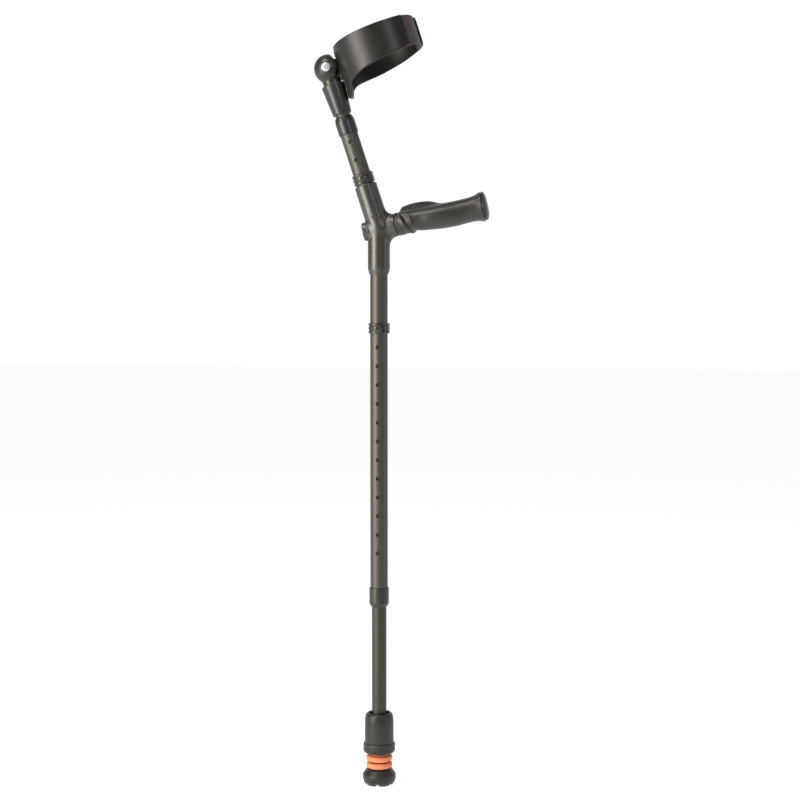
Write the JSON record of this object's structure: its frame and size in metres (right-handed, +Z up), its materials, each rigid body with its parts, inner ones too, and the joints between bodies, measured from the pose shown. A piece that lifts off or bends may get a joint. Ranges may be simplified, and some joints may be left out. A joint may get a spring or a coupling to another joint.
{
  "type": "forearm crutch",
  "caption": "Height adjustable forearm crutch with a closed tilting cuff, an anatomical palm grip, spring clips on drilled tubes and a cushioned tilting foot.",
  "frame": {"origin": "centre of the sole's ground face, on the pole's axis", "axes": "+Z up along the pole, +X the way the grip points, tube holes and clips face -Y"},
  "size_m": [0.2334, 0.1, 1.0249],
  "materials": {
    "sole_rubber": "matt",
    "inner_plastic": "matt",
    "plain_steel": "satin",
    "bellows_rubber": "matt",
    "anodised_tube": "satin anodised",
    "black_plastic": "satin",
    "moulding_plastic": "stippled",
    "grip_rubber": "matt",
    "gloss_black": "gloss",
    "chrome_screw": "polished",
    "strap_plastic": "matt"
  },
  "bodies": {
    "frame": {"pole_tube": "anodised_tube", "pole_bush": "black_plastic", "handle_moulding": "moulding_plastic", "cross_pin": "moulding_plastic", "rear_plug": "moulding_plastic", "handle_core": "plain_steel", "core_bolt": "plain_steel", "grip_collar": "moulding_plastic", "grip": "grip_rubber", "grip_end_cap": "grip_rubber", "forearm_tube": "anodised_tube", "forearm_bush": "gloss_black"},
    "leg": {"leg_tube": "anodised_tube", "leg_guide": "inner_plastic", "foot_insert": "inner_plastic", "foot_sleeve": "sole_rubber", "foot_collar": "sole_rubber", "cushion_buffer": "bellows_rubber", "bellows": "bellows_rubber"},
    "plunger": {"foot_plunger": "plain_steel"},
    "seat": {"tilt_seat": "inner_plastic"},
    "sole": {"sole_core": "inner_plastic", "sole_pad": "sole_rubber"},
    "leg_lock": {"leg_clip": "black_plastic", "leg_clip_peg": "plain_steel"},
    "forearm_lock": {"forearm_clip": "black_plastic", "forearm_clip_peg": "plain_steel"},
    "cuff_arm": {"inner_tube": "anodised_tube", "inner_guide": "inner_plastic", "cuff_socket": "black_plastic", "hinge_knuckle": "gloss_black", "hinge_screw": "chrome_screw", "hinge_nut": "plain_steel", "friction_washers": "plain_steel"},
    "cuff": {"cuff_bracket": "gloss_black", "cuff_shell": "gloss_black", "strap_anchor": "strap_plastic", "strap_rivets": "plain_steel"},
    "gate": {"cuff_strap": "strap_plastic"}
  },
  "joints": [
    {"name": "leg_extend", "type": "slide", "parent": "frame", "child": "leg", "axis": [0, 0, -1], "range_m": [0, 0.3]},
    {"name": "foot_compress", "type": "slide", "parent": "leg", "child": "plunger", "axis": [0, 0, 1], "range_m": [0, 0.008], "stiffness_N_per_m": 20000, "deforming": ["bellows", "cushion_buffer"]},
    {"name": "foot_tilt_fore_aft", "type": "hinge", "parent": "plunger", "child": "seat", "pos_m": [0, 0, 0.0138], "axis": [0, 1, 0], "range_deg": [-12, 12], "stiffness_Nm_per_rad": 3},
    {"name": "foot_tilt_side", "type": "hinge", "parent": "seat", "child": "sole", "pos_m": [0, 0, 0.0138], "axis": [1, 0, 0], "range_deg": [-12, 12], "stiffness_Nm_per_rad": 3},
    {"name": "leg_clip_pull", "type": "slide", "parent": "frame", "child": "leg_lock", "axis": [0, -1, 0], "range_m": [0, 0.035]},
    {"name": "forearm_clip_pull", "type": "slide", "parent": "frame", "child": "forearm_lock", "axis": [0, -1, 0], "range_m": [0, 0.035]},
    {"name": "forearm_extend", "type": "slide", "parent": "frame", "child": "cuff_arm", "axis": [-0.3107, 0, 0.9505], "range_m": [0, 0.05]},
    {"name": "cuff_tilt", "type": "hinge", "parent": "cuff_arm", "child": "cuff", "pos_m": [-0.06769, 0, 0.95807], "axis": [0, -1, 0], "range_deg": [0, 18]},
    {"name": "strap_gate", "type": "hinge", "parent": "cuff", "child": "gate", "pos_m": [0.04906, 0.00962, 1.0038], "axis": [0.3107, 0, -0.9505], "range_deg": [0, 38], "stiffness_Nm_per_rad": 0.25}
  ]
}
